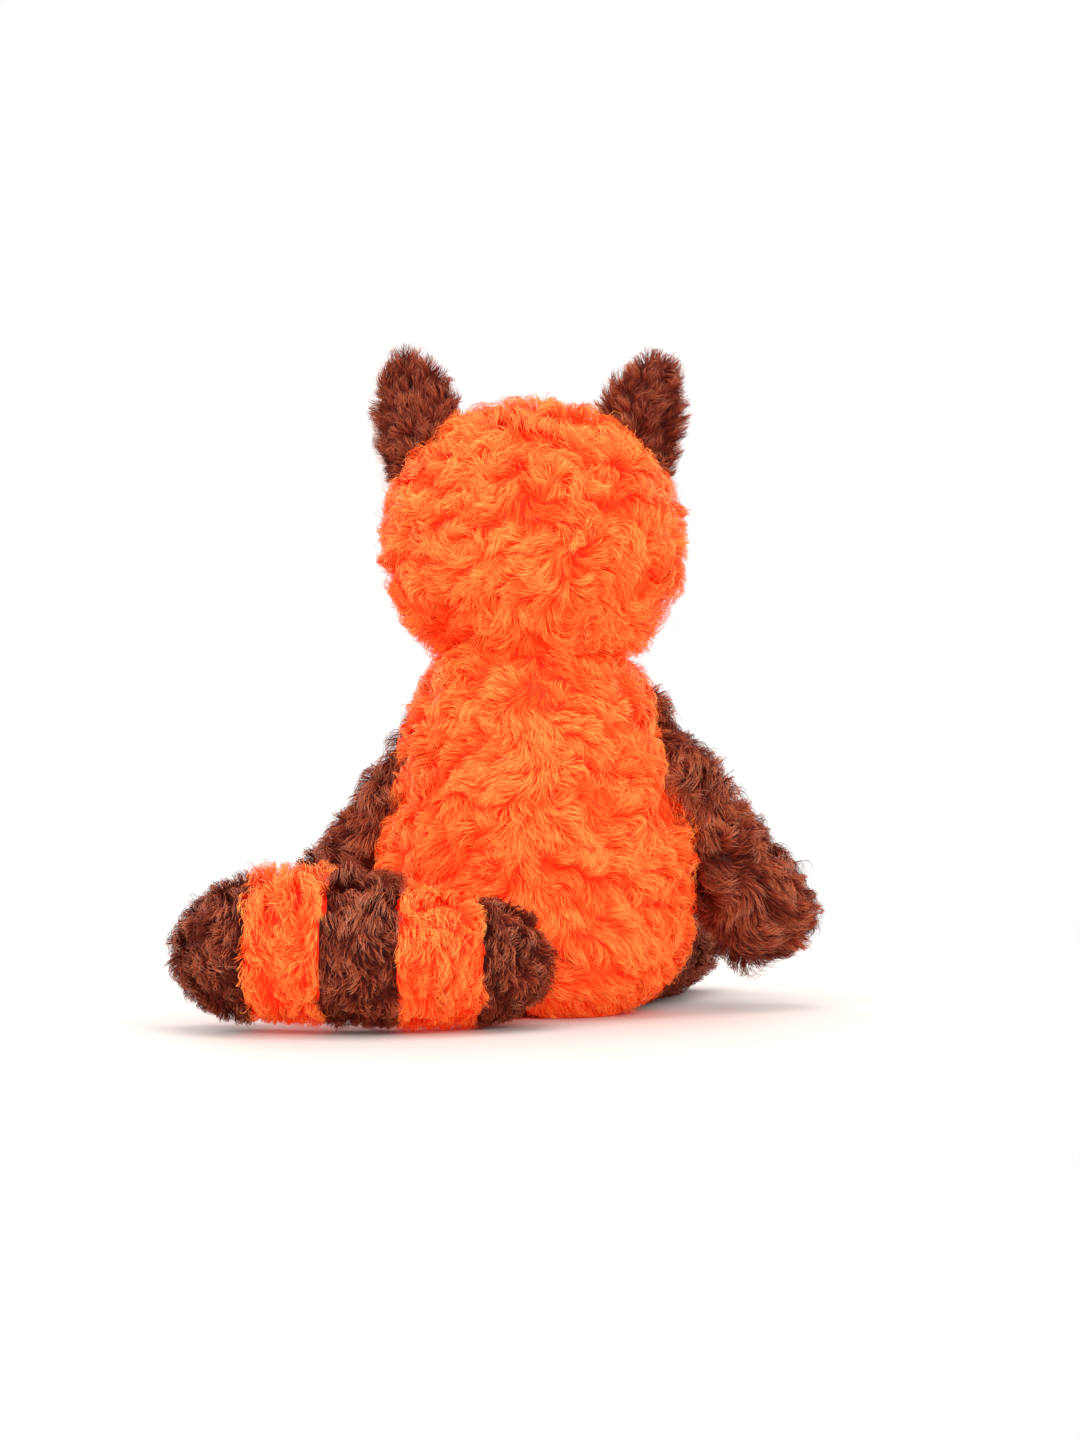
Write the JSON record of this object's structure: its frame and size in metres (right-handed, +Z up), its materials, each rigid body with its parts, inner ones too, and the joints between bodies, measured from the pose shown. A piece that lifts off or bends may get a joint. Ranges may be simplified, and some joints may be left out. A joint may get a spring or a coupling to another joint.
{
  "type": "plush red panda",
  "caption": "Seated plush red panda with furry body, turning head, soft limbs, folding ears and a ringed tail.",
  "frame": {"origin": "middle of the flat seat, where the toy rests", "axes": "+Z up, -Y the way the face looks, +X the toy's left, where the tail lies"},
  "size_m": [0.2635, 0.2568, 0.2758],
  "materials": {
    "orange_fur": "matte",
    "brown_fur": "matte",
    "cream_fur": "matte",
    "lining_fur": "matte",
    "sole_cloth": "matte",
    "filling": "matte",
    "bag_cloth": "matte",
    "black_plastic": "gloss",
    "washer_plastic": "satin"
  },
  "bodies": {
    "torso": {"back_cover": "orange_fur", "belly_cover": "brown_fur", "seat_panel": "brown_fur", "torso_stuffing": "filling", "pellet_bag": "bag_cloth"},
    "head": {"head_back_cover": "orange_fur", "face_cover": "orange_fur", "head_stuffing": "filling", "cheek_patch_left": "cream_fur", "cheek_patch_right": "cream_fur", "brow_patch_left": "cream_fur", "brow_patch_right": "cream_fur", "muzzle_cover": "cream_fur", "muzzle_stuffing": "filling", "nose": "black_plastic", "nose_washer": "washer_plastic", "eye_left": "black_plastic", "eye_right": "black_plastic", "eye_washer_left": "washer_plastic", "eye_washer_right": "washer_plastic"},
    "tail": {"tail_root_cover": "brown_fur", "tail_ring_orange_inner": "orange_fur", "tail_ring_brown": "brown_fur", "tail_ring_orange_outer": "orange_fur", "tail_tip_cover": "brown_fur", "tail_stuffing": "filling"},
    "ear_left": {"ear_left_back": "brown_fur", "ear_left_lining": "lining_fur"},
    "arm_left": {"arm_left_cover": "brown_fur", "arm_left_stuffing": "filling"},
    "leg_left": {"leg_left_cover": "brown_fur", "leg_left_stuffing": "filling", "foot_left_sole": "sole_cloth"},
    "ear_right": {"ear_right_back": "brown_fur", "ear_right_lining": "lining_fur"},
    "arm_right": {"arm_right_cover": "brown_fur", "arm_right_stuffing": "filling"},
    "leg_right": {"leg_right_cover": "brown_fur", "leg_right_stuffing": "filling", "foot_right_sole": "sole_cloth"}
  },
  "joints": [
    {"name": "head_turn", "type": "hinge", "parent": "torso", "child": "head", "pos_m": [0, 0, 0.112], "axis": [0, 0, 1], "range_deg": [-35, 35], "stiffness_Nm_per_rad": 0.15},
    {"name": "tail_swing", "type": "hinge", "parent": "torso", "child": "tail", "pos_m": [0.017, 0.07, 0], "axis": [0, 0, 1], "range_deg": [-6, 28], "stiffness_Nm_per_rad": 0.1},
    {"name": "ear_left_fold", "type": "hinge", "parent": "head", "child": "ear_left", "pos_m": [0.047, -0.01, 0.241], "axis": [0.809, 0, -0.5878], "range_deg": [-20, 20], "stiffness_Nm_per_rad": 0.02},
    {"name": "arm_left_swing", "type": "hinge", "parent": "torso", "child": "arm_left", "pos_m": [0.028, -0.003, 0.118], "axis": [0.9725, -0.1042, 0.2084], "range_deg": [-75, 6], "stiffness_Nm_per_rad": 0.15},
    {"name": "leg_left_lift", "type": "hinge", "parent": "torso", "child": "leg_left", "pos_m": [0.034, -0.02, 0.027], "axis": [-1, 0, 0], "range_deg": [0, 18], "stiffness_Nm_per_rad": 0.15},
    {"name": "ear_right_fold", "type": "hinge", "parent": "head", "child": "ear_right", "pos_m": [-0.043, -0.01, 0.241], "axis": [0.809, 0, 0.5878], "range_deg": [-20, 20], "stiffness_Nm_per_rad": 0.02},
    {"name": "arm_right_swing", "type": "hinge", "parent": "torso", "child": "arm_right", "pos_m": [-0.034, -0.003, 0.118], "axis": [0.9811, 0.0866, -0.1731], "range_deg": [-75, 6], "stiffness_Nm_per_rad": 0.15},
    {"name": "leg_right_lift", "type": "hinge", "parent": "torso", "child": "leg_right", "pos_m": [-0.034, -0.02, 0.027], "axis": [-1, 0, 0], "range_deg": [0, 18], "stiffness_Nm_per_rad": 0.15}
  ]
}
